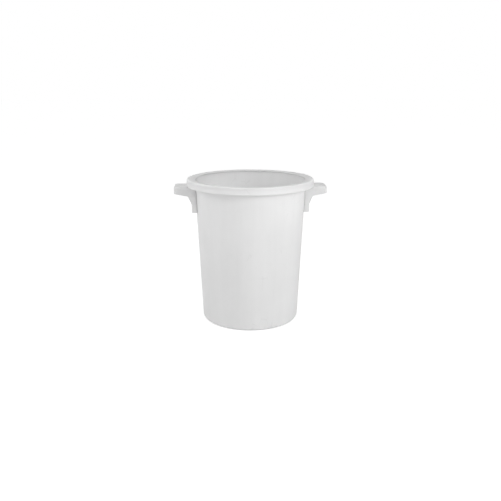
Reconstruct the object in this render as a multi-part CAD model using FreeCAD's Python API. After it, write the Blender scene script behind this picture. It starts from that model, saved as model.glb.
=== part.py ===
# Open head drum: a round tapered plastic tub of about 70 litres with a wide rim and a handle each side.
#
# Frame: millimetres, +Z up, origin at the centre of the base, handles on the X axis (left is -X).
# The shell is one thin moulding: a floor raised inside a foot ring, a straight tapered wall and an
# out-turned flange that stiffens the mouth. The rim hoop is a separate moulding that snaps over the
# flange. Each handle is a hollow bracket: its tongue stands up behind the rim hoop and bears on the
# flange, and two nylon bolts hold its back plate to the wall, each sealed by a washer on the wet side.

import FreeCAD
import Part
import math
import os

# Driving dimensions
DRUM_HEIGHT = 570.0        # foot ring to the top of the rim
RIM_RADIUS = 250.0         # outside of the rim hoop
BAND_HEIGHT = 27.5         # height of the rim hoop's skirt
WALL_RADIUS_TOP = 218.0    # outside of the wall, level with the skirt's lower edge
WALL_RADIUS_BASE = 193.0   # outside of the wall, carried down to the floor line
WALL = 4.0                 # moulded wall thickness

# Base
FLOOR = 4.5                # thickness
FLOOR_RECESS = 5.0         # the floor's underside above the foot ring's face
FLOOR_STEP = 4.0           # width of the slope between the foot ring and the raised floor
FOOT_INNER_RADIUS = 164.0
FOOT_FILLET = 2.0
BASE_CORNER = 14.0         # outside radius where the wall meets the foot
INNER_CORNER = 11.0        # inside radius of the same corner
INNER_STEP_FILLET = 3.0
FLOOR_RIBS = 8
FLOOR_RIB_WIDTH = 3.0
FLOOR_RIB_GAP = 1.5        # ribs stop this far above the ground
FLOOR_HUB_RADIUS = 26.0
FLOOR_HUB_WALL = 3.0

# Rim flange of the shell, and the hoop that snaps over it
SKIRT_FOOT = DRUM_HEIGHT - BAND_HEIGHT
FLANGE_RADIUS = 245.0
FLANGE_TOP = DRUM_HEIGHT - 6.0
FLANGE_FOOT = DRUM_HEIGHT - 9.5
FLANGE_ROOT_FILLET = 3.0   # under the flange, against the wall
FLANGE_LOWER_FILLET = 0.8
FLANGE_UPPER_FILLET = 2.6
FLANGE_RIB_PITCH = 15.0    # degrees
FLANGE_RIB_WIDTH = 3.0
FLANGE_RIB_RADIUS = 240.0
FLANGE_RIB_DEPTH = 12.0
FLANGE_RIB_TIP = 2.0       # depth at the outer end
FLANGE_RIB_TOE = 4.0       # width of the lower end
RIB_CLEAR_ANGLE = 20.0     # degrees each side of a handle's centre without a flange rib
RIB_ROOT = 2.0             # how far a rib starts inside the moulding it stiffens
RIB_OVERLAP = 1.0          # how far a rib reaches up into the moulding above it
HOOP_TOP_THICKNESS = 5.8
HOOP_SKIRT = 3.8
HOOP_DISH = 4.0            # the top falls this far from its outer land to the mouth
HOOP_LAND = 9.0            # width of the level land, with the shoulder
HOOP_DISH_RADIUS = 6.0     # where the land meets the slope
HOOP_SHOULDER_RADIUS = 5.0
HOOP_EDGE_RADIUS = 1.5     # at the mouth
HOOP_FOOT_RADIUS = 1.2
HOOP_ROOT_FILLET = 5.0     # inside, between the top and the skirt
SNAP_BEAD = 3.0            # how far the bead stands in from the skirt
SNAP_BEAD_HEIGHT = 3.2
SNAP_BEAD_LEAD = 2.0       # height of the slope under the bead
SNAP_BEAD_LOWER_RADIUS = 1.0
SNAP_BEAD_UPPER_RADIUS = 0.6
SEAM = 0.2                 # gap between mouldings that touch

# Handle brackets
HANDLE_TOP = SKIRT_FOOT - 0.3
HANDLE_ROOT = 190.0        # the blanks start here, inside the wall, and are cut back to it
HANDLE_TOP_FILLET = 4.0
HANDLE_END = 299.0         # outside of the grip, from the drum's axis
HANDLE_HALF_WIDTH = 52.0   # at the wall
HANDLE_HALF_WIDTH_END = 47.0
HANDLE_CORNER = 14.0
HANDLE_WALL = 4.5
LIP_FOOT = DRUM_HEIGHT - 56.0
LIP_FILLET = 3.0
CHEEK_FOOT = DRUM_HEIGHT - 66.0
CHEEK_FOOT_X = 244.0
CHEEK_FILLET = 5.0
GUSSET_X = 230.0
GUSSET_TOP = DRUM_HEIGHT - 97.0
GUSSET_CURVE = 30.0
HANDLE_FOOT = DRUM_HEIGHT - 130.0
FOOT_CORNER_FILLET = 3.0
BACK_PLATE = 4.0
TONGUE_RADIUS = 228.0
TONGUE = 4.0
TONGUE_EDGE_RADIUS = 1.0
TONGUE_ROOT = 2.0          # how far the tongue reaches down into the grip
TONGUE_HALF_ANGLE = 10.0   # degrees
FINGER_RIBS = 5
FINGER_RIB_PITCH = 15.0
FINGER_RIB_WIDTH = 2.5
FINGER_RIB_DEPTH = 2.0

# Nylon M8 fixings
BOLT_RADIUS = 4.0
BOLT_CLEARANCE = 0.2
BOLT_LENGTH = 18.0         # under the head
BOLT_HEIGHT = DRUM_HEIGHT - 104.0
BOLT_ANGLE = 6.5           # degrees each side of the handle's centre
HEAD_RADIUS = 11.0
HEAD_HEIGHT = 4.5
SOCKET_FLATS = 5.0
SOCKET_DEPTH = 2.6
SHANK_CHAMFER = 0.8
SEAL_RADIUS = 10.0
SEAL = 1.5
NUT_FLATS = 13.0
NUT_HEIGHT = 6.5
NUT_CHAMFER = 0.2          # the turned face is this much smaller than the flats
NUT_BORE_CLEARANCE = 0.03

MARGIN = 20.0              # cutting solids reach this far past what they cut
TOUCH = 1e-3               # lengths below this count as nothing

TAPER = (WALL_RADIUS_TOP - WALL_RADIUS_BASE) / SKIRT_FOOT
SIDES = {"right": 0.0, "left": 180.0}

UP = FreeCAD.Vector(0, 0, 1)
ORIGIN = FreeCAD.Vector(0, 0, 0)
WHOLE_TURN = 360.0


def wall_radius(z):
    """Outside radius of the tapered wall at a height."""
    return WALL_RADIUS_BASE + TAPER * z


def rounded_wire(corners, place):
    """Closed wire through (a, b, fillet radius) corners, with lines joined by tangent arcs.

    place turns the flat (a, b) pair into a vector, and so chooses the plane.
    """
    count = len(corners)
    starts = []
    ends = []
    arcs = []
    for i, (a, b, radius) in enumerate(corners):
        before = corners[i - 1]
        after = corners[(i + 1) % count]
        to_before = FreeCAD.Vector(before[0] - a, before[1] - b, 0).normalize()
        to_after = FreeCAD.Vector(after[0] - a, after[1] - b, 0).normalize()
        corner = FreeCAD.Vector(a, b, 0)
        if radius == 0:
            starts.append(corner)
            ends.append(corner)
            arcs.append(None)
            continue
        half = to_before.getAngle(to_after) / 2
        start = corner + to_before * (radius / math.tan(half))
        end = corner + to_after * (radius / math.tan(half))
        bisector = (to_before + to_after).normalize()
        middle = corner + bisector * (radius / math.sin(half) - radius)
        starts.append(start)
        ends.append(end)
        arcs.append(middle)
    edges = []
    for i in range(count):
        if arcs[i] is not None:
            points = [place(v.x, v.y) for v in (starts[i], arcs[i], ends[i])]
            edges.append(Part.Arc(*points).toShape())
        here = ends[i]
        there = starts[(i + 1) % count]
        if here.distanceToPoint(there) > TOUCH:
            line = Part.LineSegment(place(here.x, here.y), place(there.x, there.y))
            edges.append(line.toShape())
    return Part.Wire(edges)


def in_section(a, b):
    """Radius and height, in the XZ plane."""
    return FreeCAD.Vector(a, 0, b)


def in_plan(a, b):
    """X and Y, in the ground plane."""
    return FreeCAD.Vector(a, b, 0)


def revolved(corners):
    """Solid of revolution about Z from a rounded section."""
    return Part.Face(rounded_wire(corners, in_section)).revolve(ORIGIN, UP, WHOLE_TURN)


def radial_rib(corners, width, angle):
    """Flat rib of an (r, z) outline, centred on a radial plane at an angle in degrees."""
    rib = Part.Face(rounded_wire(corners, in_section)).extrude(FreeCAD.Vector(0, width, 0))
    rib.translate(FreeCAD.Vector(0, -width / 2, 0))
    rib.rotate(ORIGIN, UP, angle)
    return rib


def wall_core(offset):
    """Solid cone frustum that follows the wall's outside, grown by an offset."""
    below = -MARGIN
    above = DRUM_HEIGHT + MARGIN
    return Part.makeCone(
        wall_radius(below) + offset,
        wall_radius(above) + offset,
        above - below,
        FreeCAD.Vector(0, 0, below),
    )


def near_a_handle(angle, margin):
    """True when an angle about Z lies within a margin of either handle."""
    half_turn = WHOLE_TURN / 2
    gaps = [abs((angle - side + half_turn) % WHOLE_TURN - half_turn) for side in SIDES.values()]
    return min(gaps) < margin


def bolt_axes(side_angle):
    """(point on the wall's outside, outward normal) of each bolt of a handle."""
    tilt = math.atan(TAPER)
    radius = wall_radius(BOLT_HEIGHT)
    axes = []
    for offset in (-BOLT_ANGLE, BOLT_ANGLE):
        turn = math.radians(side_angle + offset)
        outward = FreeCAD.Vector(math.cos(turn), math.sin(turn), 0)
        point = outward * radius + UP * BOLT_HEIGHT
        normal = outward * math.cos(tilt) - UP * math.sin(tilt)
        axes.append((point, normal))
    return axes


def bolt_holes(side_angle):
    """Clearance cylinders right through the wall and the bracket's back plate."""
    radius = BOLT_RADIUS + BOLT_CLEARANCE
    return [
        Part.makeCylinder(radius, 2 * MARGIN, point - normal * MARGIN, normal)
        for point, normal in bolt_axes(side_angle)
    ]


def shell_body():
    """Floor, wall and rim flange as one turned shape."""
    inner_floor = FLOOR_RECESS + FLOOR
    half_step = FLOOR_STEP / 2
    return revolved([
        (0, FLOOR_RECESS, 0),
        (FOOT_INNER_RADIUS - FLOOR_STEP, FLOOR_RECESS, FOOT_FILLET),
        (FOOT_INNER_RADIUS, 0, FOOT_FILLET),
        (wall_radius(0), 0, BASE_CORNER),
        (wall_radius(FLANGE_FOOT), FLANGE_FOOT, FLANGE_ROOT_FILLET),
        (FLANGE_RADIUS, FLANGE_FOOT, FLANGE_LOWER_FILLET),
        (FLANGE_RADIUS, FLANGE_TOP, FLANGE_UPPER_FILLET),
        (wall_radius(FLANGE_TOP) - WALL, FLANGE_TOP, 0),
        (wall_radius(FLOOR) - WALL, FLOOR, INNER_CORNER),
        (FOOT_INNER_RADIUS + half_step, FLOOR, INNER_STEP_FILLET),
        (FOOT_INNER_RADIUS - half_step, inner_floor, INNER_STEP_FILLET),
        (0, inner_floor, 0),
    ])


def floor_ribs():
    """Ribs and hub on the floor's underside, inside the foot ring and clear of the ground."""
    start = FLOOR_HUB_RADIUS - RIB_ROOT
    end = FOOT_INNER_RADIUS + RIB_ROOT
    top = FLOOR_RECESS + RIB_OVERLAP
    outline = [
        (start, FLOOR_RIB_GAP, 0),
        (end, FLOOR_RIB_GAP, 0),
        (end, FLOOR_RECESS - RIB_OVERLAP, 0),
        (FOOT_INNER_RADIUS - FLOOR_STEP - RIB_OVERLAP, top, 0),
        (start, top, 0),
    ]
    ribs = [radial_rib(outline, FLOOR_RIB_WIDTH, i * WHOLE_TURN / FLOOR_RIBS) for i in range(FLOOR_RIBS)]
    foot = FreeCAD.Vector(0, 0, FLOOR_RIB_GAP)
    hub = Part.makeCylinder(FLOOR_HUB_RADIUS, top - FLOOR_RIB_GAP, foot)
    hub_bore = Part.makeCylinder(FLOOR_HUB_RADIUS - FLOOR_HUB_WALL, FLOOR_RECESS, ORIGIN)
    ribs.append(hub.cut(hub_bore))
    return ribs


def flange_ribs():
    """Short gussets that hold the flange square to the wall, left out beside the handles."""
    root = wall_radius(FLANGE_FOOT) - RIB_ROOT
    top = FLANGE_FOOT + RIB_OVERLAP
    foot = FLANGE_FOOT - FLANGE_RIB_DEPTH
    outline = [
        (root, top, 0),
        (FLANGE_RIB_RADIUS, top, 0),
        (FLANGE_RIB_RADIUS, FLANGE_FOOT - FLANGE_RIB_TIP, 0),
        (root + FLANGE_RIB_TOE, foot, 0),
        (root, foot, 0),
    ]
    angles = [i * FLANGE_RIB_PITCH for i in range(round(WHOLE_TURN / FLANGE_RIB_PITCH))]
    return [
        radial_rib(outline, FLANGE_RIB_WIDTH, angle)
        for angle in angles
        if not near_a_handle(angle, RIB_CLEAR_ANGLE)
    ]


def make_shell():
    """The tub as one moulding, with the handles' bolt holes."""
    holes = [hole for side in SIDES.values() for hole in bolt_holes(side)]
    return shell_body().fuse(floor_ribs() + flange_ribs()).cut(holes)


def make_rim_hoop():
    """Cap over the flange: a top that falls to the mouth, a skirt and the bead that snaps under it."""
    inner = wall_radius(FLANGE_TOP) - WALL
    underside = DRUM_HEIGHT - HOOP_TOP_THICKNESS
    skirt_inner = RIM_RADIUS - HOOP_SKIRT
    bead_inner = skirt_inner - SNAP_BEAD
    bead_top = FLANGE_FOOT - SEAM
    bead_foot = bead_top - SNAP_BEAD_HEIGHT
    return revolved([
        (inner, underside, 0),
        (inner, DRUM_HEIGHT - HOOP_DISH, HOOP_EDGE_RADIUS),
        (RIM_RADIUS - HOOP_LAND, DRUM_HEIGHT, HOOP_DISH_RADIUS),
        (RIM_RADIUS, DRUM_HEIGHT, HOOP_SHOULDER_RADIUS),
        (RIM_RADIUS, SKIRT_FOOT, HOOP_FOOT_RADIUS),
        (skirt_inner, SKIRT_FOOT, HOOP_FOOT_RADIUS),
        (skirt_inner, bead_foot - SNAP_BEAD_LEAD, SNAP_BEAD_LOWER_RADIUS),
        (bead_inner, bead_foot, SNAP_BEAD_LOWER_RADIUS),
        (bead_inner, bead_top, SNAP_BEAD_UPPER_RADIUS),
        (skirt_inner, bead_top, 0),
        (skirt_inner, underside, HOOP_ROOT_FILLET),
    ])


def bracket_blank():
    """Solid bracket: the side outline and the plan outline taken together, with its top edge rounded."""
    side = rounded_wire([
        (HANDLE_ROOT, HANDLE_TOP, 0),
        (HANDLE_END, HANDLE_TOP, 0),
        (HANDLE_END, LIP_FOOT, LIP_FILLET),
        (CHEEK_FOOT_X, CHEEK_FOOT, CHEEK_FILLET),
        (GUSSET_X, GUSSET_TOP, GUSSET_CURVE),
        (GUSSET_X, HANDLE_FOOT, FOOT_CORNER_FILLET),
        (HANDLE_ROOT, HANDLE_FOOT, 0),
    ], in_section)
    half_span = HANDLE_HALF_WIDTH + MARGIN
    side_block = Part.Face(side).extrude(FreeCAD.Vector(0, 2 * half_span, 0))
    side_block.translate(FreeCAD.Vector(0, -half_span, 0))
    blank = side_block.common(plan_block(0, HANDLE_TOP))
    top_edges = [
        edge for edge in blank.Edges
        if all(abs(v.Z - HANDLE_TOP) < TOUCH for v in edge.Vertexes)
        and max(v.X for v in edge.Vertexes) > HANDLE_ROOT + TOUCH
    ]
    return blank.makeFillet(HANDLE_TOP_FILLET, top_edges)


def finger_rib(index):
    """One of the ribs under the top of the grip, which keep it stiff."""
    middle = (index - (FINGER_RIBS - 1) / 2) * FINGER_RIB_PITCH
    length = HANDLE_END - RIM_RADIUS - HANDLE_WALL
    foot = HANDLE_TOP - HANDLE_WALL - FINGER_RIB_DEPTH
    corner = FreeCAD.Vector(RIM_RADIUS, middle - FINGER_RIB_WIDTH / 2, foot)
    return Part.makeBox(length, FINGER_RIB_WIDTH, FINGER_RIB_DEPTH, corner)


def tongue():
    """Upright tongue that stands behind the rim hoop and bears on the flange."""
    foot = HANDLE_TOP - TONGUE_ROOT
    top = FLANGE_FOOT - SEAM
    section = rounded_wire([
        (TONGUE_RADIUS, foot, 0),
        (TONGUE_RADIUS + TONGUE, foot, 0),
        (TONGUE_RADIUS + TONGUE, top, TONGUE_EDGE_RADIUS),
        (TONGUE_RADIUS, top, TONGUE_EDGE_RADIUS),
    ], in_section)
    shape = Part.Face(section).revolve(ORIGIN, UP, 2 * TONGUE_HALF_ANGLE)
    shape.rotate(ORIGIN, UP, -TONGUE_HALF_ANGLE)
    return shape


def make_handle():
    """One bracket on +X: hollow grip, cheeks running down into gussets, back plate and tongue."""
    hollow = plan_block(HANDLE_WALL, HANDLE_TOP - HANDLE_WALL).cut(wall_core(SEAM + BACK_PLATE))
    for index in range(FINGER_RIBS):
        hollow = hollow.cut(finger_rib(index))
    bracket = bracket_blank().cut(hollow).cut(wall_core(SEAM))
    return bracket.fuse(tongue()).cut(bolt_holes(0))


def plan_block(inset, top):
    """Block with the grip's plan outline, drawn in by an inset, from below the handle up to a height."""
    half = HANDLE_HALF_WIDTH - inset
    half_end = HANDLE_HALF_WIDTH_END - inset
    end = HANDLE_END - inset
    corner = HANDLE_CORNER - inset
    outline = rounded_wire([
        (HANDLE_ROOT, -half, 0),
        (end, -half_end, corner),
        (end, half_end, corner),
        (HANDLE_ROOT, half, 0),
    ], in_plan)
    bottom = HANDLE_FOOT - MARGIN
    block = Part.Face(outline).extrude(FreeCAD.Vector(0, 0, top - bottom))
    block.translate(FreeCAD.Vector(0, 0, bottom))
    return block


def hexagon(flats, height, base, axis):
    """Hexagonal prism across flats, standing on a point along an axis."""
    radius = flats / math.sqrt(3)
    sides = 6
    turns = [math.radians(i * WHOLE_TURN / sides) for i in range(sides + 1)]
    points = [FreeCAD.Vector(radius * math.cos(t), radius * math.sin(t), 0) for t in turns]
    prism = Part.Face(Part.makePolygon(points)).extrude(FreeCAD.Vector(0, 0, height))
    prism.Placement = FreeCAD.Placement(base, FreeCAD.Rotation(UP, axis))
    return prism


def make_bolt(point, normal):
    """Low domed bolt from the inside of the drum, with a hexagon socket."""
    under_head = point - normal * (WALL + SEAL)
    tip = under_head + normal * BOLT_LENGTH
    shank = Part.makeCylinder(BOLT_RADIUS, BOLT_LENGTH, under_head, normal)
    tip_edges = [edge for edge in shank.Edges if edge.CenterOfMass.distanceToPoint(tip) < TOUCH]
    shank = shank.makeChamfer(SHANK_CHAMFER, tip_edges)
    dome_radius = (HEAD_RADIUS ** 2 + HEAD_HEIGHT ** 2) / (2 * HEAD_HEIGHT)
    dome = Part.makeSphere(dome_radius, under_head - normal * (HEAD_HEIGHT - dome_radius))
    head = dome.common(Part.makeCylinder(2 * HEAD_RADIUS, 2 * HEAD_HEIGHT, under_head, normal * -1))
    socket_foot = under_head - normal * (HEAD_HEIGHT - SOCKET_DEPTH)
    socket = hexagon(SOCKET_FLATS, 2 * HEAD_HEIGHT, socket_foot, normal * -1)
    return head.fuse(shank).removeSplitter().cut(socket)


def make_seal(point, normal, shell):
    """Soft washer between the bolt's head and the wall, pressed to the wall's curve."""
    base = point - normal * (WALL + SEAL)
    length = SEAL + WALL / 2
    ring = Part.makeCylinder(SEAL_RADIUS, length, base, normal)
    bore = Part.makeCylinder(BOLT_RADIUS + BOLT_CLEARANCE, length, base, normal)
    return ring.cut(bore).cut(shell)


def make_nut(point, normal):
    """Hexagon nut with a chamfered face, tangent to the bracket's back plate."""
    seat = point + normal * (SEAM + BACK_PLATE)
    nut = hexagon(NUT_FLATS, NUT_HEIGHT, seat, normal)
    face_radius = NUT_FLATS / 2 - NUT_CHAMFER
    chamfer = Part.makeCone(face_radius + NUT_HEIGHT, face_radius, NUT_HEIGHT, seat, normal)
    bore = Part.makeCylinder(BOLT_RADIUS + NUT_BORE_CLEARANCE, NUT_HEIGHT, seat, normal)
    return nut.common(chamfer).cut(bore)


def turned(shape, angle):
    """Copy of a shape turned about Z."""
    copy = shape.copy()
    copy.rotate(ORIGIN, UP, angle)
    return copy


def main():
    """Build every piece, write its STEP file and print what it is."""
    shell = make_shell()
    handle = make_handle()
    nodes = {"tub_shell": shell, "rim_hoop": make_rim_hoop()}
    for side, angle in SIDES.items():
        axes = bolt_axes(angle)
        nodes[f"{side}_handle"] = turned(handle, angle)
        nodes[f"{side}_handle_bolts"] = Part.makeCompound([make_bolt(p, n) for p, n in axes])
        nodes[f"{side}_handle_seals"] = Part.makeCompound([make_seal(p, n, shell) for p, n in axes])
        nodes[f"{side}_handle_nuts"] = Part.makeCompound([make_nut(p, n) for p, n in axes])
    os.makedirs("parts", exist_ok=True)
    for name, shape in nodes.items():
        shape.exportStep(f"parts/{name}.step")
        box = shape.BoundBox
        print(f"{name}: {len(shape.Solids)} solid(s), valid {shape.isValid()}, "
              f"{shape.Volume / 1e3:.1f} cm3, z {box.ZMin:.1f} to {box.ZMax:.1f}")


main()
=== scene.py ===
# %% [markdown]
# # A round tub with two bracket handles
#
# The object is a tall open tub of pale polyethylene, a little wider at the mouth than at the foot.
# A deep rim runs round the mouth, and a hollow bracket on each side gives four fingers room.
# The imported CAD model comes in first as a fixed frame. Every piece made here is drawn in metres in
# that same frame, so nothing has to be fitted afterwards.

import math

import bmesh
import bpy
from mathutils import Matrix, Vector


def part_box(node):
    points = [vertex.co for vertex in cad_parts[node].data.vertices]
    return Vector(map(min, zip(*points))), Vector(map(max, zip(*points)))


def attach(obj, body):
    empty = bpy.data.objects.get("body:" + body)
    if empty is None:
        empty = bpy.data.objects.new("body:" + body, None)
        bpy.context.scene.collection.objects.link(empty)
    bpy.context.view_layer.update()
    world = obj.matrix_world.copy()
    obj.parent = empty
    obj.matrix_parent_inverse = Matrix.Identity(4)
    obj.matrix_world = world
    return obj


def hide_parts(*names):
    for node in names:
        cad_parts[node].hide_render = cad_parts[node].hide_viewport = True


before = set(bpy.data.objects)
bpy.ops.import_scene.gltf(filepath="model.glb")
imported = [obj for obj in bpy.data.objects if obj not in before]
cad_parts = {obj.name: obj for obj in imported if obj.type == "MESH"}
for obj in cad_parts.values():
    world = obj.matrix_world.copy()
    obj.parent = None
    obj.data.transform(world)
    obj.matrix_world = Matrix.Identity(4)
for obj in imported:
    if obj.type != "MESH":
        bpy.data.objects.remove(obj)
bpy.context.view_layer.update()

# %% [markdown]
# ## Camera
#
# The camera comes first, because it decides how much each detail matters. It stands about a third
# of a metre above the rim, a little over four tub heights away, and slightly to the left of the
# line through the middle, so the mouth is seen as a narrow ellipse and the walls draw together
# towards the floor.

# %% Make the camera
SENSOR_WIDTH = 36.0
FOCAL_LENGTH = 44.932
CAMERA_DISTANCE = 2.455
CAMERA_HEIGHT = 0.931
CAMERA_TURN = math.radians(-2.34)
AIM = Vector((0.0012, 0.0, 0.2727))


def make_camera():
    """Perspective camera that looks at a point a little below the tub's middle."""
    data = bpy.data.cameras.new("camera")
    data.sensor_width = SENSOR_WIDTH
    data.lens = FOCAL_LENGTH
    data.clip_start, data.clip_end = 0.05, 60.0
    camera = bpy.data.objects.new("camera", data)
    bpy.context.scene.collection.objects.link(camera)
    camera.location = (
        CAMERA_DISTANCE * math.sin(CAMERA_TURN),
        -CAMERA_DISTANCE * math.cos(CAMERA_TURN),
        CAMERA_HEIGHT,
    )
    camera.rotation_euler = (AIM - camera.location).to_track_quat("-Z", "Y").to_euler()
    bpy.context.scene.camera = camera
    return camera


camera = make_camera()
print("lens", round(camera.data.lens, 2), "mm")

# %% [markdown]
# ## Sizes
#
# The outside sizes are read from the frame. The thicknesses and radii that a box can't give are
# named here once, and every section below is drawn from them.

# %% Read and name the sizes
hoop_low, hoop_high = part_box("rim_hoop")
HEIGHT = hoop_high.z
RIM_RADIUS = round(hoop_high.x, 4)
SKIRT_FOOT = hoop_low.z
FLANGE_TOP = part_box("tub_shell")[1].z

WALL = 0.004
WALL_RADIUS_TOP = 0.218
WALL_RADIUS_BASE = 0.193
TAPER = (WALL_RADIUS_TOP - WALL_RADIUS_BASE) / SKIRT_FOOT
FLANGE_THICKNESS = 0.0035
FLANGE_FOOT = FLANGE_TOP - FLANGE_THICKNESS
FLANGE_RADIUS = 0.245
BASE_CORNER = 0.014
FLOOR = 0.0045
FLOOR_RECESS = 0.005
FOOT_INNER_RADIUS = 0.164
HOOP_TOP = 0.0058
HOOP_SKIRT = 0.0038
HOOP_DISH = 0.004
HOOP_LAND = 0.009
LIP_FOOT = HEIGHT - 0.056
HANDLE_SIDES = {"right": 0.0, "left": math.pi}


def wall_radius(z):
    """Outside radius of the tapered wall at a height."""
    return WALL_RADIUS_BASE + TAPER * z


print("height", round(HEIGHT, 4), "rim radius", RIM_RADIUS, "taper", round(TAPER, 4))

# %% [markdown]
# ## A small language for node trees
#
# Both the shapes and the finishes are node trees. Written link by link they are long and hard to
# read, so two small classes help. `Value` wraps one socket and lets Python sums add Math nodes.
# `Nodes` adds any other node from its type, its settings and the values or links of its sockets.

# %% Wrap sockets and trees
class Value:
    """One output socket, on which + - * / build Math nodes."""

    def __init__(self, nodes, socket):
        self.nodes, self.socket = nodes, socket

    def _math(self, operation, first, second):
        settings = {"operation": operation}
        return self.nodes.add("ShaderNodeMath", settings, {0: first, 1: second}).out(0)

    def __add__(self, other):
        return self._math("ADD", self, other)

    def __radd__(self, other):
        return self._math("ADD", other, self)

    def __sub__(self, other):
        return self._math("SUBTRACT", self, other)

    def __rsub__(self, other):
        return self._math("SUBTRACT", other, self)

    def __mul__(self, other):
        return self._math("MULTIPLY", self, other)

    def __truediv__(self, other):
        return self._math("DIVIDE", self, other)

    def function(self, operation, other=0.0):
        """Any other Math node, such as SINE, ABSOLUTE or MAXIMUM."""
        return self._math(operation, self, other)


class Added:
    """A node that was just added, whose outputs are taken by name or number."""

    def __init__(self, nodes, node):
        self.nodes, self.node = nodes, node

    def out(self, key=0):
        return Value(self.nodes, self.node.outputs[key])


class Nodes:
    """A node tree that is built with one call for each node."""

    def __init__(self, tree):
        self.tree = tree

    def add(self, kind, settings=None, sockets=None):
        """Adds a node: settings are set first, then each socket gets a number, a colour or a link."""
        node = self.tree.nodes.new(kind)
        for name, setting in (settings or {}).items():
            setattr(node, name, setting)
        for key, given in (sockets or {}).items():
            if isinstance(given, Value):
                self.tree.links.new(given.socket, node.inputs[key])
            else:
                node.inputs[key].default_value = given
        return Added(self, node)


print("node helpers ready")

# %% [markdown]
# ## Making a mesh from a Geometry Nodes tree
#
# A tree works on an object as a modifier. Its inputs are set by each socket's identifier before the
# first evaluation, the evaluated result is copied to a plain mesh, and the modifier goes away. What
# is left is an ordinary piece that the export can carry.

# %% Start a tree and turn its result into a piece
def start_tree(name, inputs):
    """New geometry tree with Geometry in and out, and inputs {name: (socket type, default)}."""
    tree = bpy.data.node_groups.new(name, "GeometryNodeTree")
    tree.interface.new_socket("Geometry", in_out="INPUT", socket_type="NodeSocketGeometry")
    for label, (kind, default) in inputs.items():
        socket = tree.interface.new_socket(label, in_out="INPUT", socket_type=kind)
        if default is not None:
            socket.default_value = default
    tree.interface.new_socket("Geometry", in_out="OUTPUT", socket_type="NodeSocketGeometry")
    nodes = Nodes(tree)
    return nodes, nodes.add("NodeGroupInput")


def end_tree(nodes, given, geometry):
    """Closes a tree with Realize Instances, Set Material and the output."""
    real = nodes.add("GeometryNodeRealizeInstances", None, {"Geometry": geometry}).out()
    sockets = {"Geometry": real, "Material": given.out("Material")}
    painted = nodes.add("GeometryNodeSetMaterial", None, sockets).out()
    nodes.add("NodeGroupOutput", None, {"Geometry": painted})


def new_object(name, mesh):
    """Object for a mesh, linked to the scene at the origin."""
    piece = bpy.data.objects.new(name, mesh)
    bpy.context.scene.collection.objects.link(piece)
    return piece


def grow(name, start_mesh, nodes, sizes, smooth_angle=math.radians(30)):
    """Runs a tree on a start mesh with the given sizes and returns the result as a plain piece."""
    source = new_object(name + "_source", start_mesh)
    modifier = source.modifiers.new("grow", "NODES")
    modifier.node_group = nodes.tree
    for item in nodes.tree.interface.items_tree:
        if item.item_type == "SOCKET" and item.in_out == "INPUT" and item.name in sizes:
            modifier[item.identifier] = sizes[item.name]
    bpy.context.view_layer.update()
    evaluated = source.evaluated_get(bpy.context.evaluated_depsgraph_get())
    mesh = bpy.data.meshes.new_from_object(evaluated)
    bpy.data.objects.remove(source)
    mesh.name = name
    mesh.shade_smooth()
    mesh.set_sharp_from_angle(angle=smooth_angle)
    piece = new_object(name, mesh)
    print(f"{name}: {len(mesh.vertices)} vertices, {len(mesh.polygons)} faces")
    return piece


# %% [markdown]
# ## Finishes
#
# Everything here is moulded polyethylene, but no two parts of a tub in use look the same. The wall
# is satin with long upright flow marks from the mould and a fine grain. The rim is glossier, rubbed
# bright along its shoulder; its top is duller and has painted shade that makes it darker. The grips
# are a shade darker, and the foot picks up grey scuffs. One function writes the common plastic, and
# the numbers that differ are passed to it.

# %% Noise, lines and masks that the finishes share
HAIRLINE_WIDTH = 0.03


def new_material(name):
    """Empty node material with its output, and the tree to add to."""
    material = bpy.data.materials.new(name)
    material.use_nodes = True
    material.node_tree.nodes.clear()
    return material, Nodes(material.node_tree)


def object_place(nodes, stretch=(1.0, 1.0, 1.0)):
    """Object coordinates in metres, stretched along the axes."""
    place = nodes.add("ShaderNodeTexCoord").out("Object")
    return nodes.add("ShaderNodeMapping", None, {"Vector": place, "Scale": stretch}).out()


def noise(nodes, scale, detail=2.0, stretch=(1.0, 1.0, 1.0), distortion=0.0):
    """Soft noise from 0 to 1, with scale in features per metre."""
    sockets = {
        "Vector": object_place(nodes, stretch),
        "Scale": scale,
        "Detail": detail,
        "Roughness": 0.55,
        "Distortion": distortion,
    }
    return nodes.add("ShaderNodeTexNoise", None, sockets).out(0)


def between(nodes, value, low, high):
    """0 below low, 1 above high, and a smooth step between them."""
    settings = {"interpolation_type": "SMOOTHSTEP"}
    sockets = {"Value": value, "From Min": low, "From Max": high, "To Min": 0.0, "To Max": 1.0}
    return nodes.add("ShaderNodeMapRange", settings, sockets).out(0)


def mixed_colour(nodes, mask, first, second):
    """Colour between two, by a mask."""
    settings = {"data_type": "RGBA", "blend_type": "MIX"}
    return nodes.add("ShaderNodeMix", settings, {0: mask, 6: first, 7: second}).out(2)


def scratches(nodes, scale, stretch, rarity):
    """Thin short hairlines: the edges of stretched cells, kept only where a second noise is high."""
    sockets = {"Vector": object_place(nodes, stretch), "Scale": scale, "Randomness": 1.0}
    settings = {"feature": "DISTANCE_TO_EDGE"}
    edge = nodes.add("ShaderNodeTexVoronoi", settings, sockets).out("Distance")
    line = 1.0 - between(nodes, edge, 0.0, HAIRLINE_WIDTH)
    place = between(nodes, noise(nodes, scale * 0.6, 3.0), rarity, rarity + 0.08)
    return line * place


def grey(level):
    """Neutral colour from a linear level."""
    return (level, level, level, 1.0)


print("finish helpers ready")
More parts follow.
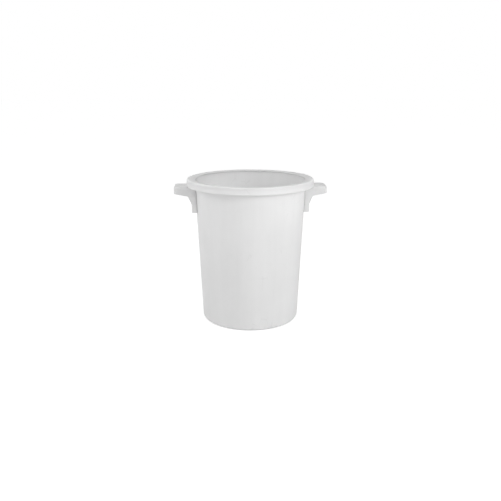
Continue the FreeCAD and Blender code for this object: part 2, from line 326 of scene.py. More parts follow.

# %% [markdown]
# ### The common plastic
#
# Polyethylene is waxy: a wide soft highlight over a body that lets light spread a centimetre or so
# under its skin, so the thin wall glows a little where light falls on its far side. The body colour
# drifts by a few hundredths with the flow of the melt. Roughness carries the wear: rubbed places are
# smoother, scuffed places are duller. Three bumps of very different size go on the normal: a shallow
# draw of the wall, an orange-peel ripple a few millimetres wide, and a grain finer than half a
# millimetre. A part adds two masks for its own wear and shade: the soiling mask darkens and dulls
# dirt and scuffs, and on the rim's top it is also painted shade; the polished mask smooths a place.

# %% Write the plastic
FLOW_DARK = 0.955
FLOW_LIGHT = 1.025
# Share of the level that the dark marks reach: dirt and scuffs, and on the rim's top painted shade.
GRIME_AND_SHADE = 0.55
POLYETHYLENE_IOR = 1.5
SCATTER_LENGTH = 0.012


def bumped(nodes, height, strength, distance, below=None):
    """Normal raised by a height pattern, over another bump when one is given."""
    sockets = {"Strength": strength, "Distance": distance, "Height": height}
    if below is not None:
        sockets["Normal"] = below
    return nodes.add("ShaderNodeBump", None, sockets).out()


def waxy_plastic(nodes, level, roughness, flow, grain, soil_and_shade=0.0, polished=0.0, glow=0.0, sheen=0.2):
    """Shader for pale moulded plastic, joined to a new output.

    glow is the share of light that passes through the skin, sheen the strength of the highlight.
    """
    streaks = noise(nodes, 9.0, 3.0, (1.0, 1.0, 0.12), 0.3)
    thin_streaks = noise(nodes, 42.0, 2.0, (1.0, 1.0, 0.06))
    clouds = noise(nodes, 5.0, 4.0)
    specks = between(nodes, noise(nodes, 420.0, 1.0), 0.72, 0.8)
    upright_lines = scratches(nodes, 26.0, (1.0, 1.0, 0.35), 0.56)
    cross_lines = scratches(nodes, 34.0, (0.5, 0.8, 1.3), 0.6)
    lines = upright_lines + cross_lines * 0.7

    drift = (streaks - 0.5) * 1.8 + (clouds - 0.5) * 1.4 + (thin_streaks - 0.5) * 0.8
    tone = between(nodes, drift * flow, -0.03, 0.03)
    body = mixed_colour(nodes, tone, grey(level * FLOW_DARK), grey(level * FLOW_LIGHT))
    # Dark marks: hairlines and specks, plus the part's own mask, which on the rim's top is painted
    # shade.
    marks = lines * 0.10 + specks * 0.05 + soil_and_shade
    body = mixed_colour(nodes, marks, body, grey(level * GRIME_AND_SHADE))

    rough = roughness + (clouds - 0.5) * 0.10 + (streaks - 0.5) * 0.08 + lines * 0.12
    rough = rough + soil_and_shade * 0.3 - polished * 0.08

    draw = bumped(nodes, noise(nodes, 14.0, 1.0, (1.0, 1.0, 0.3)), 0.35, 0.0006)
    peel = bumped(nodes, noise(nodes, 210.0, 2.0), 0.5, 0.00006, draw)
    skin = bumped(nodes, noise(nodes, 2600.0, 1.0), 0.6, grain, peel)
    sockets = {
        "Base Color": body,
        "Roughness": rough,
        "Normal": skin,
        "IOR": POLYETHYLENE_IOR,
        "Specular IOR Level": sheen,
        "Subsurface Weight": glow,
        "Subsurface Radius": (1.0, 1.0, 1.0),
        "Subsurface Scale": SCATTER_LENGTH,
    }
    shader = nodes.add("ShaderNodeBsdfPrincipled", None, sockets).out()
    nodes.add("ShaderNodeOutputMaterial", None, {"Surface": shader})


def object_axes(nodes):
    """Object X, Y and Z as separate values, in metres."""
    place = nodes.add("ShaderNodeTexCoord").out("Object")
    axes = nodes.add("ShaderNodeSeparateXYZ", None, {0: place})
    return axes.out("X"), axes.out("Y"), axes.out("Z")


print("plastic ready")

# %% [markdown]
# ### Where each part wears, and where shade is painted
#
# The shell is dragged over floors, so its foot is scuffed grey, and things dropped inside mark its
# floor. Hands and lids polish the rim's shoulder. The rim's top is duller, and it is painted darker
# as painted shade. The grips are a shade darker than the wall and duller, and darker still in
# patches low on the grip, under the edge.

# %% Make the finishes
SCUFF_TOP = 0.022
INNER_FLOOR_TOP = 0.016
# How far the rim's top is darkened and dulled: painted shade in its colour, real dullness in its
# roughness.
RIM_TOP_SHADE_AND_DULLING = 0.25


def wall_plastic():
    """Satin wall, scuffed at the foot and marked on the inner floor."""
    material, nodes = new_material("satin_wall_plastic")
    x, y, z = object_axes(nodes)
    rubbed = between(nodes, noise(nodes, 60.0, 5.0), 0.42, 0.62)
    foot = (1.0 - between(nodes, z, 0.0, SCUFF_TOP)) * rubbed * 0.35
    radius = (x * x + y * y).function("SQRT")
    inside = between(nodes, z, 0.006, 0.009) * (1.0 - between(nodes, z, 0.012, INNER_FLOOR_TOP))
    inside = inside * (1.0 - between(nodes, radius, 0.178, 0.186))
    dents = scratches(nodes, 48.0, (1.0, 1.0, 1.0), 0.44)
    dropped = dents + between(nodes, noise(nodes, 24.0, 5.0), 0.5, 0.7)
    waxy_plastic(nodes, 0.84, 0.36, 0.034, 0.00002, soil_and_shade=foot + inside * dropped * 0.25, glow=1.0)
    return material


def rim_plastic():
    """Smooth rim, rubbed bright along its shoulder, duller on top and darker there with painted shade.
    """
    material, nodes = new_material("polished_rim_plastic")
    x, y, z = object_axes(nodes)
    shoulder = between(nodes, z, HEIGHT - 0.006, HEIGHT - 0.001)
    radius = (x * x + y * y).function("SQRT")
    # The top of the rim, where painted shade darkens the colour.
    top = 1.0 - between(nodes, radius, RIM_RADIUS - HOOP_LAND, RIM_RADIUS - HOOP_LAND / 3)
    knocks = between(nodes, noise(nodes, 75.0, 4.0), 0.60, 0.70) * shoulder
    # Knocks on the shoulder are real wear; the top's share is painted shade.
    soil_and_shade = knocks * 0.12 + top * RIM_TOP_SHADE_AND_DULLING
    waxy_plastic(nodes, 0.84, 0.38, 0.012, 0.000015, soil_and_shade, polished=shoulder, glow=1.0, sheen=0.55)
    return material


def grip_plastic():
    """Dull plastic, a shade darker than the wall, darkest in patches low on the grip."""
    material, nodes = new_material("darker_grip_plastic")
    z = object_axes(nodes)[2]
    low = 1.0 - between(nodes, z, LIP_FOOT - 0.006, LIP_FOOT + 0.016)
    # Darker in patches over the whole grip, and more so low on it, under the edge.
    grip_darkening = between(nodes, noise(nodes, 36.0, 4.0), 0.45, 0.7) * (0.04 + low * 0.08)
    waxy_plastic(nodes, 0.74, 0.46, 0.014, 0.00003, soil_and_shade=grip_darkening, glow=1.0)
    return material


def nylon():
    """Hard bright nylon of the bolts and nuts."""
    material, nodes = new_material("moulded_nylon")
    waxy_plastic(nodes, 0.80, 0.30, 0.010, 0.00001)
    return material


def seal_rubber():
    """Grey rubber of the washers."""
    material, nodes = new_material("grey_seal_rubber")
    bloom = between(nodes, noise(nodes, 300.0, 3.0), 0.45, 0.7)
    waxy_plastic(nodes, 0.45, 0.70, 0.010, 0.00004, soil_and_shade=bloom * 0.15)
    return material


wall_finish = wall_plastic()
rim_finish = rim_plastic()
grip_finish = grip_plastic()
nylon_finish = nylon()
rubber_finish = seal_rubber()
print("finishes", [m.name for m in bpy.data.materials if m.use_nodes])

# %% [markdown]
# ## Sections with rounded corners
#
# A moulded part has no sharp edge anywhere, because melt doesn't fill one. Each turned piece is
# therefore drawn as a section whose corners are named by radius and height with a fillet, and one
# function walks the corners and puts a short arc in each.

# %% Round a section's corners
ARC_STEP = math.radians(11)


def rounded_section(corners, closed):
    """Points (r, z) of a section from (r, z, fillet) corners."""
    count = len(corners)
    points = []
    for i, (r, z, fillet) in enumerate(corners):
        here = Vector((r, z))
        end = not closed and i in (0, count - 1)
        if end or fillet == 0:
            points.append(here)
            continue
        before = (Vector(corners[i - 1][:2]) - here).normalized()
        after = (Vector(corners[(i + 1) % count][:2]) - here).normalized()
        half = before.angle(after) / 2
        middle = here + (before + after).normalized() * (fillet / math.sin(half))
        start = here + before * (fillet / math.tan(half)) - middle
        turn = math.pi - 2 * half
        if before.cross(after) > 0:
            turn = -turn
        steps = max(2, math.ceil(abs(turn) / ARC_STEP))
        for k in range(steps + 1):
            arc = Matrix.Rotation(turn * k / steps, 2) @ start
            points.append(middle + arc)
    return points


def section_mesh(name, points):
    """Chain of edges through the section's points, in the XZ plane."""
    mesh = bpy.data.meshes.new(name)
    vertices = [(p.x, 0.0, p.y) for p in points]
    edges = [(i, i + 1) for i in range(len(points) - 1)]
    mesh.from_pydata(vertices, edges, [])
    return mesh


def divided(points, longest):
    """The same section with long straight runs cut into shorter ones."""
    result = [points[0]]
    for a, b in zip(points, points[1:]):
        cuts = max(1, math.ceil((b - a).length / longest))
        result += [a.lerp(b, k / cuts) for k in range(1, cuts + 1)]
    return result


print("section helper ready")

# %% [markdown]
# ## The lathe
#
# The shell and the rim hoop are both turned shapes, so one Geometry Nodes tree makes both. It lays
# out a flat grid with one column for each point of the section and one row for each step round the
# axis, and then moves every grid point to its place: the radius and height come from the section,
# and the angle comes from the row. A thin moulded wall is never perfectly round, so the tree can also
# push the wall in and out by up to half a millimetre, in long upright waves.

# %% Build the lathe tree
SEED = 3.0
WAVE_FADE = 0.08
MERGE_DISTANCE = 0.00001
LONGEST_RUN = 0.02


def lathe_tree():
    """Turns the edge chain it is given about Z."""
    nodes, given = start_tree(
        "lathe",
        {
            "Steps": ("NodeSocketInt", 192),
            "Points": ("NodeSocketInt", 8),
            "Waviness": ("NodeSocketFloat", 0.0),
            "Wave Foot": ("NodeSocketFloat", 0.0),
            "Wave Head": ("NodeSocketFloat", 1.0),
            "Seed": ("NodeSocketFloat", SEED),
            "Material": ("NodeSocketMaterial", None),
        },
    )
    steps, points = given.out("Steps"), given.out("Points")
    sockets = {"Size X": 1.0, "Size Y": 1.0, "Vertices X": steps + 1.0, "Vertices Y": points}
    grid = nodes.add("GeometryNodeMeshGrid", None, sockets).out("Mesh")
    index = nodes.add("GeometryNodeInputIndex").out()
    row = (index / points).function("FLOOR")
    column = index - row * points
    place = nodes.add("GeometryNodeInputPosition").out()
    sampled = nodes.add(
        "GeometryNodeSampleIndex",
        {"data_type": "FLOAT_VECTOR", "domain": "POINT"},
        {"Geometry": given.out("Geometry"), "Value": place, "Index": column},
    ).out()
    section = nodes.add("ShaderNodeSeparateXYZ", None, {0: sampled})
    radius, height = section.out("X"), section.out("Z")
    angle = row / steps * (2 * math.pi)
    across, along = angle.function("COSINE"), angle.function("SINE")
    ring = nodes.add("ShaderNodeCombineXYZ", None, {"X": across, "Y": along, "Z": height * 0.9}).out()
    ripple = nodes.add(
        "ShaderNodeTexNoise",
        {"noise_dimensions": "4D"},
        {"Vector": ring, "W": given.out("Seed"), "Scale": 2.3, "Detail": 1.0},
    ).out(0)
    foot, head = given.out("Wave Foot"), given.out("Wave Head")
    rise = between(nodes, height, foot, foot + WAVE_FADE)
    fall = between(nodes, height, head - WAVE_FADE, head)
    push = (ripple - 0.5) * 2.0 * given.out("Waviness") * rise * (1.0 - fall)
    reach = radius + push
    sockets = {"X": reach * across, "Y": reach * along, "Z": height}
    moved = nodes.add("ShaderNodeCombineXYZ", None, sockets).out()
    sockets = {"Geometry": grid, "Position": moved}
    turned = nodes.add("GeometryNodeSetPosition", None, sockets).out()
    sockets = {"Geometry": turned, "Distance": MERGE_DISTANCE}
    closed = nodes.add("GeometryNodeMergeByDistance", None, sockets).out()
    end_tree(nodes, given, closed)
    return nodes


lathe = lathe_tree()


def turned_piece(name, corners, material, closed=True, steps=192, waves=(0.0, 0.0, 1.0)):
    """Piece turned about Z from rounded corners, riding on the one body."""
    points = rounded_section(corners, closed)
    if closed:
        points.append(points[0].copy())
    points = divided(points, LONGEST_RUN)
    waviness, foot, head = waves
    sizes = {
        "Steps": steps,
        "Points": len(points),
        "Waviness": waviness,
        "Wave Foot": foot,
        "Wave Head": head,
        "Seed": SEED,
        "Material": material,
    }
    piece = grow(name, section_mesh(name, points), lathe, sizes)
    face_outwards(piece.data)
    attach(piece, "root")
    return piece


def face_outwards(mesh):
    """Turns every face to the outside of its closed shell, and counts the edges left open."""
    editable = bmesh.new()
    editable.from_mesh(mesh)
    bmesh.ops.recalc_face_normals(editable, faces=editable.faces)
    open_edges = sum(1 for edge in editable.edges if len(edge.link_faces) != 2)
    editable.to_mesh(mesh)
    editable.free()
    print(f"{mesh.name}: {open_edges} open edges")


print("lathe", len(lathe.tree.nodes), "nodes")

# %% [markdown]
# ## The shell
#
# The shell is the tub itself: a floor raised inside a foot ring, a straight tapered wall and an
# out-turned flange that stiffens the mouth. It could be made from a cylinder with loop cuts, but the
# section says everything about a turned part, so it is drawn once and turned.

# %% Turn the shell
FLOOR_STEP = 0.002
WALL_WAVES = (0.0005, 0.03, 0.45)


def shell_corners():
    """Section of the shell, from the middle of the underside round to the middle of the floor."""
    inner_floor = FLOOR_RECESS + FLOOR
    return [
        (0.0, FLOOR_RECESS, 0.0),
        (FOOT_INNER_RADIUS - 2 * FLOOR_STEP, FLOOR_RECESS, 0.002),
        (FOOT_INNER_RADIUS, 0.0, 0.002),
        (wall_radius(0.0), 0.0, BASE_CORNER),
        (wall_radius(FLANGE_FOOT), FLANGE_FOOT, 0.003),
        (FLANGE_RADIUS, FLANGE_FOOT, 0.0008),
        (FLANGE_RADIUS, FLANGE_TOP, 0.0026),
        (wall_radius(FLANGE_TOP) - WALL, FLANGE_TOP, 0.0004),
        (wall_radius(FLOOR) - WALL, FLOOR, 0.011),
        (FOOT_INNER_RADIUS + FLOOR_STEP, FLOOR, 0.003),
        (FOOT_INNER_RADIUS - FLOOR_STEP, inner_floor, 0.003),
        (0.0, inner_floor, 0.0),
    ]


shell = turned_piece(
    "tub_body", shell_corners(), wall_finish, closed=False, waves=WALL_WAVES
)
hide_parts("tub_shell")

# %% [markdown]
# ## Stiffening ribs
#
# Ribs under the floor keep it flat under load, and short ribs under the flange keep the rim from
# folding when the tub is lifted. Each set is one small rib repeated round the axis, which is what
# Geometry Nodes are for: a set of points at the origin, one instance on each, and a turn that grows
# with the point's number. Ribs that would run into a handle are left out by a test on the angle.

# %% Build the repeat tree
def repeat_tree():
    """Copies the mesh it is given round Z."""
    nodes, given = start_tree(
        "repeat_round_axis",
        {
            "Count": ("NodeSocketInt", 8),
            "First Angle": ("NodeSocketFloat", 0.0),
            "Step Angle": ("NodeSocketFloat", 0.5),
            "Clear Angle": ("NodeSocketFloat", 0.0),
            "Material": ("NodeSocketMaterial", None),
        },
    )
    points = nodes.add("GeometryNodePoints", None, {"Count": given.out("Count")}).out()
    number = nodes.add("GeometryNodeInputIndex").out()
    angle = given.out("First Angle") + number * given.out("Step Angle")
    beside = angle.function("COSINE").function("ABSOLUTE")
    clear = given.out("Clear Angle").function("COSINE")
    settings = {"data_type": "FLOAT", "operation": "LESS_EQUAL"}
    kept = nodes.add("FunctionNodeCompare", settings, {0: beside, 1: clear}).out()
    turn = nodes.add("ShaderNodeCombineXYZ", None, {"Z": angle}).out()
    sockets = {"Points": points, "Selection": kept, "Instance": given.out("Geometry"), "Rotation": turn}
    copies = nodes.add("GeometryNodeInstanceOnPoints", None, sockets).out()
    end_tree(nodes, given, copies)
    return nodes


repeat = repeat_tree()


def repeated_piece(name, mesh, count, first, step, material, clear=0.0):
    """Piece made of copies of a mesh round Z, riding on the one body."""
    sizes = {
        "Count": count,
        "First Angle": first,
        "Step Angle": step,
        "Clear Angle": clear,
        "Material": material,
    }
    piece = grow(name, mesh, repeat, sizes)
    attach(piece, "root")


print("repeat", len(repeat.tree.nodes), "nodes")

# %% Draw the ribs
RIB_WIDTH = 0.003
RIB_SOFTENING = 0.0004
RIB_ROOT = 0.002
RIB_OVERLAP = 0.001


def rib_mesh(name, outline):
    """Flat rib of an (r, z) outline, centred on the XZ plane, with softened edges."""
    editable = bmesh.new()
    half = RIB_WIDTH / 2
    front = [editable.verts.new((r, -half, z)) for r, z in outline]
    back = [editable.verts.new((r, half, z)) for r, z in outline]
    editable.faces.new(front)
    editable.faces.new(list(reversed(back)))
    for i in range(len(outline)):
        j = (i + 1) % len(outline)
        editable.faces.new((front[j], front[i], back[i], back[j]))
    bmesh.ops.recalc_face_normals(editable, faces=editable.faces)
    bmesh.ops.bevel(
        editable,
        geom=list(editable.edges),
        offset=RIB_SOFTENING,
        segments=2,
        profile=0.5,
        affect="EDGES",
        clamp_overlap=True,
    )
    mesh = bpy.data.meshes.new(name)
    editable.to_mesh(mesh)
    editable.free()
    return mesh


FLOOR_RIBS = 8
FLOOR_HUB_RADIUS = 0.026
FLOOR_RIB_GAP = 0.0015
FLOOR_HUB_WALL = 0.003
floor_rib = rib_mesh(
    "floor_rib",
    [
        (FLOOR_HUB_RADIUS - RIB_ROOT, FLOOR_RIB_GAP),
        (FOOT_INNER_RADIUS + RIB_ROOT, FLOOR_RIB_GAP),
        (FOOT_INNER_RADIUS + RIB_ROOT, FLOOR_RECESS - RIB_OVERLAP),
        (FOOT_INNER_RADIUS - 0.005, FLOOR_RECESS + RIB_OVERLAP),
        (FLOOR_HUB_RADIUS - RIB_ROOT, FLOOR_RECESS + RIB_OVERLAP),
    ],
)
repeated_piece(
    "floor_ribs", floor_rib, FLOOR_RIBS, 0.0, 2 * math.pi / FLOOR_RIBS, wall_finish
)
turned_piece(
    "floor_hub",
    [
        (FLOOR_HUB_RADIUS, FLOOR_RIB_GAP, RIB_SOFTENING),
        (FLOOR_HUB_RADIUS, FLOOR_RECESS + RIB_OVERLAP, 0.0),
        (FLOOR_HUB_RADIUS - FLOOR_HUB_WALL, FLOOR_RECESS + RIB_OVERLAP, 0.0),
        (FLOOR_HUB_RADIUS - FLOOR_HUB_WALL, FLOOR_RIB_GAP, RIB_SOFTENING),
    ],
    wall_finish,
    steps=96,
)

FLANGE_RIB_PITCH = math.radians(15)
FLANGE_RIB_RADIUS = 0.240
FLANGE_RIB_DEPTH = 0.012
FLANGE_RIB_TOE = 0.004
FLANGE_RIB_TIP = 0.002
HANDLE_CLEAR_ANGLE = math.radians(20)
rib_root = wall_radius(FLANGE_FOOT) - RIB_ROOT
flange_rib = rib_mesh(
    "flange_rib",
    [
        (rib_root, FLANGE_FOOT + RIB_OVERLAP),
        (rib_root, FLANGE_FOOT - FLANGE_RIB_DEPTH),
        (rib_root + FLANGE_RIB_TOE, FLANGE_FOOT - FLANGE_RIB_DEPTH),
        (FLANGE_RIB_RADIUS, FLANGE_FOOT - FLANGE_RIB_TIP),
        (FLANGE_RIB_RADIUS, FLANGE_FOOT + RIB_OVERLAP),
    ],
)
repeated_piece(
    "flange_ribs",
    flange_rib,
    round(2 * math.pi / FLANGE_RIB_PITCH),
    0.0,
    FLANGE_RIB_PITCH,
    wall_finish,
    clear=HANDLE_CLEAR_ANGLE,
)

# %% [markdown]
# ## The rim hoop
#
# The hoop caps the flange and turns down outside it, which gives the mouth its deep bright band and
# a smooth edge to lift by. Its top falls a little towards the mouth, its skirt is upright, and a
# small bead inside the skirt holds under the flange.

# %% Turn the hoop
BEAD_GAP = 0.0002
BEAD_HEIGHT = 0.0032
BEAD_DEPTH = 0.003


def hoop_corners():
    """Section of the hoop, from the mouth over the top and round the skirt."""
    inner = wall_radius(FLANGE_TOP) - WALL
    underside = HEIGHT - HOOP_TOP
    skirt_inner = RIM_RADIUS - HOOP_SKIRT
    bead_top = FLANGE_FOOT - BEAD_GAP
    bead_foot = bead_top - BEAD_HEIGHT
    bead = skirt_inner - BEAD_DEPTH
    return [
        (inner, underside, 0.0003),
        (inner, HEIGHT - HOOP_DISH, 0.0015),
        (RIM_RADIUS - HOOP_LAND, HEIGHT, 0.006),
        (RIM_RADIUS, HEIGHT, 0.005),
        (RIM_RADIUS, SKIRT_FOOT, 0.0012),
        (skirt_inner, SKIRT_FOOT, 0.0012),
        (skirt_inner, bead_foot - 0.002, 0.001),
        (bead, bead_foot, 0.001),
        (bead, bead_top, 0.0006),
        (skirt_inner, bead_top, 0.0003),
        (skirt_inner, underside, 0.003),
    ]


hoop = turned_piece("rim_ring", hoop_corners(), rim_finish, steps=256)
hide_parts("rim_hoop")

# %% [markdown]
# ## The bracket handles
#
# Each handle is a hollow bracket: a top plate to lift by, two cheeks that run down into gussets, and
# a back plate that follows the wall. Its true shape is already in the CAD model, but the edges there
# are knife sharp, and no hand would lift a tub by such an edge. So the mesh is copied, its loose
# triangles are merged and joined into flat faces, and every free edge gets a small round. Edges that
# lie against the tub are left sharp, so the seam stays closed.

# %% Soften the brackets
GRIP_EDGE_RADIUS = 0.0008
SEAM_REACH = 0.0055
TONGUE_REACH = 0.0004
SHARP_ANGLE = math.radians(35)
FLAT_ANGLE = math.radians(1.5)


def free_edge(edge):
    """True for a sharp edge that stands clear of the wall and of the tongue behind the hoop."""
    if len(edge.link_faces) != 2 or edge.calc_face_angle() < SHARP_ANGLE:
        return False
    return all(
        math.hypot(v.co.x, v.co.y) > wall_radius(v.co.z) + SEAM_REACH
        and v.co.z < SKIRT_FOOT - TONGUE_REACH
        for v in edge.verts
    )


def softened_bracket(side):
    """Copy of a CAD bracket with its free edges rounded, standing for that node."""
    name = f"{side}_handle"
    editable = bmesh.new()
    editable.from_mesh(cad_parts[name].data)
    bmesh.ops.remove_doubles(editable, verts=editable.verts, dist=MERGE_DISTANCE)
    bmesh.ops.dissolve_limit(
        editable, angle_limit=FLAT_ANGLE, verts=editable.verts, edges=editable.edges
    )
    bmesh.ops.bevel(
        editable,
        geom=[edge for edge in editable.edges if free_edge(edge)],
        offset=GRIP_EDGE_RADIUS,
        offset_type="OFFSET",
        segments=2,
        profile=0.5,
        affect="EDGES",
    )
    mesh = bpy.data.meshes.new(f"{side}_bracket")
    editable.to_mesh(mesh)
    editable.free()
    mesh.shade_smooth()
    mesh.set_sharp_from_angle(angle=SHARP_ANGLE)
    mesh.materials.clear()
    mesh.materials.append(grip_finish)
    piece = new_object(f"{side}_bracket", mesh)
    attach(piece, "root")
    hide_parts(name)
    print(f"{piece.name}: {len(mesh.vertices)} vertices, {len(mesh.polygons)} faces")


for side in HANDLE_SIDES:
    softened_bracket(side)

# %% [markdown]
# ## Nylon bolts and nuts
#
# Two bolts hold each bracket. The dome head and its washer are inside the tub, where they are easy to
# wipe, and the nut is hidden in the hollow of the bracket. Each mesh is drawn once, standing on the
# wall's outer face with the wall's normal along Z. Rings of points are bridged one to the next, and a
# ring may be round, six-sided or both in turn, so one helper makes the socket, the thread and the nut.

# %% Bridge rings of points
RING_POINTS = 48
SIXTH = math.pi / 3


def hexagon_radius(across_flats, angle):
    """Distance from the middle of a hexagon to its side, in a direction."""
    return across_flats / 2 / math.cos(angle % SIXTH - SIXTH / 2)


def bridged_rings(rings):
    """Open skin over rings, each a function of the angle that gives (radius, z), and its rows."""
    angles = [2 * math.pi * k / RING_POINTS for k in range(RING_POINTS)]
    editable = bmesh.new()
    rows = []
    for ring in rings:
        row = []
        for angle in angles:
            radius, z = ring(angle)
            row.append(editable.verts.new((radius * math.cos(angle), radius * math.sin(angle), z)))
        rows.append(row)
    for lower, upper in zip(rows, rows[1:]):
        for k in range(RING_POINTS):
            after = (k + 1) % RING_POINTS
            editable.faces.new((lower[k], lower[after], upper[after], upper[k]))
    return editable, rows


def finished_mesh(name, editable):
    """Mesh with outward faces from an edited one."""
    bmesh.ops.recalc_face_normals(editable, faces=editable.faces)
    mesh = bpy.data.meshes.new(name)
    editable.to_mesh(mesh)
    editable.free()
    return mesh


print("a nut 13 mm across flats is", round(2000 * hexagon_radius(0.013, 0.0), 2), "across corners")

# %% Draw the bolt
SHANK_RADIUS = 0.004
THREAD_DEPTH = 0.0006
THREAD_PITCH = 0.00125
THREAD_STEPS = 8
HEAD_RADIUS = 0.011
HEAD_HEIGHT = 0.0045
SOCKET_FLATS = 0.005
SOCKET_DEPTH = 0.0026
SEAL = 0.0015
UNDER_HEAD = -(WALL + SEAL)
SHANK_TIP = UNDER_HEAD + 0.018
TIP_CHAMFER = 0.0008
EDGE_SOFTENING = 0.0002
DOME_STEPS = 8
DOME_RADIUS = (HEAD_RADIUS**2 + HEAD_HEIGHT**2) / (2 * HEAD_HEIGHT)


def dome_z(radius):
    """Height of the domed head's face at a radius. The head stands towards -Z, inside the tub."""
    middle = UNDER_HEAD - HEAD_HEIGHT + DOME_RADIUS
    return middle - math.sqrt(DOME_RADIUS**2 - radius**2)


def socket_ring(z_of, shrink=0.0):
    """Hexagon of the socket, with its height from the radius."""
    def ring(angle):
        radius = hexagon_radius(SOCKET_FLATS - shrink, angle)
        return radius, z_of(radius)
    return ring


def round_ring(radius, z):
    """Plain round ring."""
    return lambda angle: (radius, z)


def thread_ring(z):
    """Ring of the shank, drawn in where the helical groove passes."""
    def ring(angle):
        turns = z / THREAD_PITCH - angle / (2 * math.pi)
        groove = 1.0 - abs(2.0 * (turns % 1.0) - 1.0)
        fade = min(1.0, (SHANK_TIP - z) / THREAD_PITCH)
        taper = max(0.0, z - (SHANK_TIP - TIP_CHAMFER))
        return SHANK_RADIUS - taper - THREAD_DEPTH * groove * fade, z
    return ring


def bolt_mesh():
    """Domed bolt: socket floor, socket wall, dome, underside and threaded shank."""
    floor_z = UNDER_HEAD - HEAD_HEIGHT + SOCKET_DEPTH
    rings = [
        socket_ring(lambda r: floor_z + EDGE_SOFTENING, 6 * EDGE_SOFTENING),
        socket_ring(lambda r: floor_z, EDGE_SOFTENING),
        socket_ring(lambda r: dome_z(r) + EDGE_SOFTENING),
        socket_ring(dome_z, -2 * EDGE_SOFTENING),
    ]
    first, last = SOCKET_FLATS * 0.75, HEAD_RADIUS - 1.5 * EDGE_SOFTENING
    for k in range(DOME_STEPS):
        radius = first + (last - first) * k / (DOME_STEPS - 1)
        rings.append(round_ring(radius, dome_z(radius)))
    rings += [
        round_ring(HEAD_RADIUS, UNDER_HEAD - 1.5 * EDGE_SOFTENING),
        round_ring(HEAD_RADIUS - EDGE_SOFTENING, UNDER_HEAD),
        round_ring(SHANK_RADIUS, UNDER_HEAD),
    ]
    length = SHANK_TIP - UNDER_HEAD
    count = round(length / THREAD_PITCH * THREAD_STEPS)
    rings += [thread_ring(UNDER_HEAD + length * k / count) for k in range(1, count + 1)]
    editable, rows = bridged_rings(rings)
    for row, z in ((rows[0], floor_z + 2 * EDGE_SOFTENING), (rows[-1], SHANK_TIP)):
        middle = editable.verts.new((0.0, 0.0, z))
        for k in range(RING_POINTS):
            editable.faces.new((row[k], row[(k + 1) % RING_POINTS], middle))
    return finished_mesh("bolt", editable)


nylon_bolt = bolt_mesh()
print("bolt", len(nylon_bolt.polygons), "faces")

# %% Draw the nut
NUT_FLATS = 0.013
NUT_FOOT = 0.0042
NUT_HEIGHT = 0.0065
NUT_BORE = 0.00403
NUT_FACE_RADIUS = NUT_FLATS / 2 - EDGE_SOFTENING
BORE_LEAD = 0.0004


def nut_mesh():
    """Hexagon nut with a turned chamfer on its outer face and a countersunk bore."""
    top = NUT_FOOT + NUT_HEIGHT

    def side(z):
        return lambda angle: (hexagon_radius(NUT_FLATS, angle), z)

    def shoulder(angle):
        radius = hexagon_radius(NUT_FLATS, angle)
        return radius, top - (radius - NUT_FACE_RADIUS)

    rings = [
        round_ring(NUT_BORE, NUT_FOOT + BORE_LEAD),
        round_ring(NUT_BORE + BORE_LEAD, NUT_FOOT),
        lambda angle: (hexagon_radius(NUT_FLATS - 2 * EDGE_SOFTENING, angle), NUT_FOOT),
        side(NUT_FOOT + EDGE_SOFTENING),
        shoulder,
        round_ring(NUT_FACE_RADIUS, top),
        round_ring(NUT_BORE + BORE_LEAD, top),
        round_ring(NUT_BORE, top - BORE_LEAD),
    ]
    editable, rows = bridged_rings(rings)
    for k in range(RING_POINTS):
        after = (k + 1) % RING_POINTS
        editable.faces.new((rows[-1][k], rows[-1][after], rows[0][after], rows[0][k]))
    return finished_mesh("nut", editable)


nylon_nut = nut_mesh()
print("nut", len(nylon_nut.polygons), "faces")

# %% [markdown]
# The two fixings of a handle stand on the sloping wall, the same angle each side of its middle. A
# small tree puts a point at each place and an instance on each point, tipped over so that its Z axis
# follows the wall's normal.

# %% Stand the fixings on the wall
FIXING_HEIGHT = 0.466
FIXING_ANGLE = math.radians(6.5)


def fixing_tree():
    """Stands copies of the mesh it is given on the tapered wall, side by side."""
    nodes, given = start_tree(
        "fixings_on_wall",
        {
            "Count": ("NodeSocketInt", 2),
            "Side Angle": ("NodeSocketFloat", 0.0),
            "Half Spread": ("NodeSocketFloat", 0.1),
            "Height": ("NodeSocketFloat", 0.4),
            "Radius": ("NodeSocketFloat", 0.2),
            "Tilt": ("NodeSocketFloat", 0.0),
            "Material": ("NodeSocketMaterial", None),
        },
    )
    count, radius, spread = given.out("Count"), given.out("Radius"), given.out("Half Spread")
    number = nodes.add("GeometryNodeInputIndex").out()
    share = number / (count - 1.0) * 2.0 - 1.0
    angle = given.out("Side Angle") + share * spread
    sockets = {
        "X": radius * angle.function("COSINE"),
        "Y": radius * angle.function("SINE"),
        "Z": given.out("Height"),
    }
    place = nodes.add("ShaderNodeCombineXYZ", None, sockets).out()
    points = nodes.add("GeometryNodePoints", None, {"Count": count, "Position": place}).out()
    lean = given.out("Tilt") + math.pi / 2
    turn = nodes.add("ShaderNodeCombineXYZ", None, {"Y": lean, "Z": angle}).out()
    sockets = {"Points": points, "Instance": given.out("Geometry"), "Rotation": turn}
    copies = nodes.add("GeometryNodeInstanceOnPoints", None, sockets).out()
    end_tree(nodes, given, copies)
    return nodes


fixings = fixing_tree()


def fixing_pair(side, label, mesh):
    """The bolts or the nuts of one handle, standing for their CAD node."""
    sizes = {
        "Count": 2,
        "Side Angle": HANDLE_SIDES[side],
        "Half Spread": FIXING_ANGLE,
        "Height": FIXING_HEIGHT,
        "Radius": wall_radius(FIXING_HEIGHT),
        "Tilt": math.atan(TAPER),
        "Material": nylon_finish,
    }
    piece = grow(f"{side}_nylon_{label}", mesh.copy(), fixings, sizes)
    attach(piece, "root")
    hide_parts(f"{side}_handle_{label}")


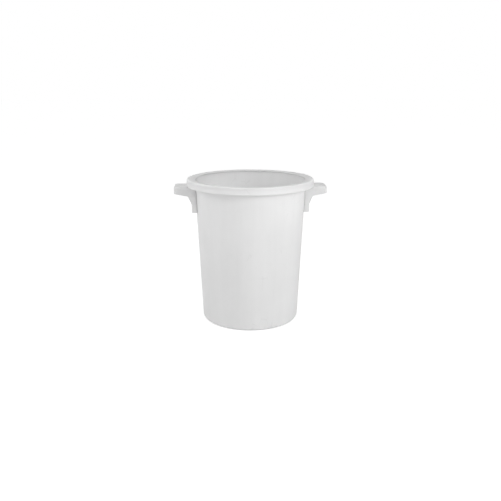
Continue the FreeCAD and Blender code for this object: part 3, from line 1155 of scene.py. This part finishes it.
for side in HANDLE_SIDES:
    fixing_pair(side, "bolts", nylon_bolt)
    fixing_pair(side, "nuts", nylon_nut)

# %% Finish the washers, whose CAD shape is already right
for side in HANDLE_SIDES:
    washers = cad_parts[f"{side}_handle_seals"]
    washers.data.materials.clear()
    washers.data.materials.append(rubber_finish)
    print(washers.name, "takes", rubber_finish.name)

# %% [markdown]
# ## Floor and light
#
# A wide pale floor and a pale surround that is a little brighter towards the front, with soft lamps
# from the front right, low in front and from the left. Round pale plastic shows its shape only by
# slow changes of tone, so the lamps are large and the surround gives most of the light. The floor is
# lifted to white where the camera sees it, and keeps the shadow of the tub.

# %% Make the floor
AMBIENT = 0.56
FRONT_GLOW = 0.22
FLOOR_HALF = 30.0
FLOOR_LEVEL = 0.9


def floor_light():
    """How much of the surround's light falls on a level floor, where 1 is a white surround."""
    return AMBIENT + FRONT_GLOW * 2 / (3 * math.pi)


def make_floor():
    """Large pale plane under the foot: white where nothing stands on it, darker where it is shaded."""
    mesh = bpy.data.meshes.new("floor")
    corners = [(x * FLOOR_HALF, y * FLOOR_HALF, 0) for x, y in ((-1, -1), (1, -1), (1, 1), (-1, 1))]
    mesh.from_pydata(corners, [], [(0, 1, 2, 3)])
    floor = new_object("floor", mesh)
    material, nodes = new_material("pale_floor")
    paint = nodes.add("ShaderNodeBsdfDiffuse", None, {"Color": grey(FLOOR_LEVEL)}).out()
    seen = nodes.add("ShaderNodeLightPath").out("Is Camera Ray")
    lift = seen * (1.0 - FLOOR_LEVEL * floor_light())
    glow = nodes.add("ShaderNodeEmission", None, {"Color": grey(1.0), "Strength": lift}).out()
    surface = nodes.add("ShaderNodeAddShader", None, {0: paint, 1: glow}).out()
    nodes.add("ShaderNodeOutputMaterial", None, {"Surface": surface})
    mesh.materials.append(material)
    return floor


floor = make_floor()
print("floor", 2 * FLOOR_HALF, "m wide, surround on it", round(floor_light(), 3))

# %% Make the surround and the lamps
LAMP_SIZE = (1.2, 1.0)
LAMP_DISTANCE = 3.6
LAMPS = {
    "front_right": (40.0, 25.0, 28.6),
    "low_front": (15.0, 5.0, 9.5),
    "left": (-100.0, 25.0, 26.5),
}


def make_surround():
    """Pale surround, lighter towards the front, that is white where it is seen or mirrored."""
    world = bpy.data.worlds.new("surround")
    bpy.context.scene.world = world
    world.use_nodes = True
    world.node_tree.nodes.clear()
    nodes = Nodes(world.node_tree)
    rays = nodes.add("ShaderNodeLightPath")
    seen = rays.out("Is Camera Ray").function("MAXIMUM", rays.out("Is Transmission Ray"))
    seen = seen.function("MAXIMUM", rays.out("Is Glossy Ray"))
    way = nodes.add("ShaderNodeTexCoord").out("Generated")
    backward = nodes.add("ShaderNodeSeparateXYZ", None, {0: way}).out("Y")
    lit = AMBIENT - backward.function("MINIMUM", 0.0) * FRONT_GLOW
    strength = seen + (1.0 - seen) * lit
    sockets = {"Color": grey(1.0), "Strength": strength}
    background = nodes.add("ShaderNodeBackground", None, sockets).out()
    nodes.add("ShaderNodeOutputWorld", None, {"Surface": background})


def lamp(name, azimuth, elevation, power):
    """Area lamp on a sphere round the tub's middle, facing it. Azimuth 0 is the front, 90 the right."""
    data = bpy.data.lights.new(name, "AREA")
    data.shape = "RECTANGLE"
    data.size, data.size_y = LAMP_SIZE
    data.energy = power
    light = bpy.data.objects.new(name, data)
    bpy.context.scene.collection.objects.link(light)
    turn, rise = math.radians(azimuth), math.radians(elevation)
    middle = Vector((0.0, 0.0, HEIGHT / 2))
    level = math.cos(rise)
    outward = Vector((math.sin(turn) * level, -math.cos(turn) * level, math.sin(rise)))
    light.location = middle + outward * LAMP_DISTANCE
    light.rotation_euler = (-outward).to_track_quat("-Z", "Y").to_euler()
    return light


make_surround()
bpy.context.scene.view_settings.view_transform = "Standard"
lamps = [lamp(name, *aim_and_power) for name, aim_and_power in LAMPS.items()]
print("lamps", {light.name: round(light.data.energy, 1) for light in lamps})
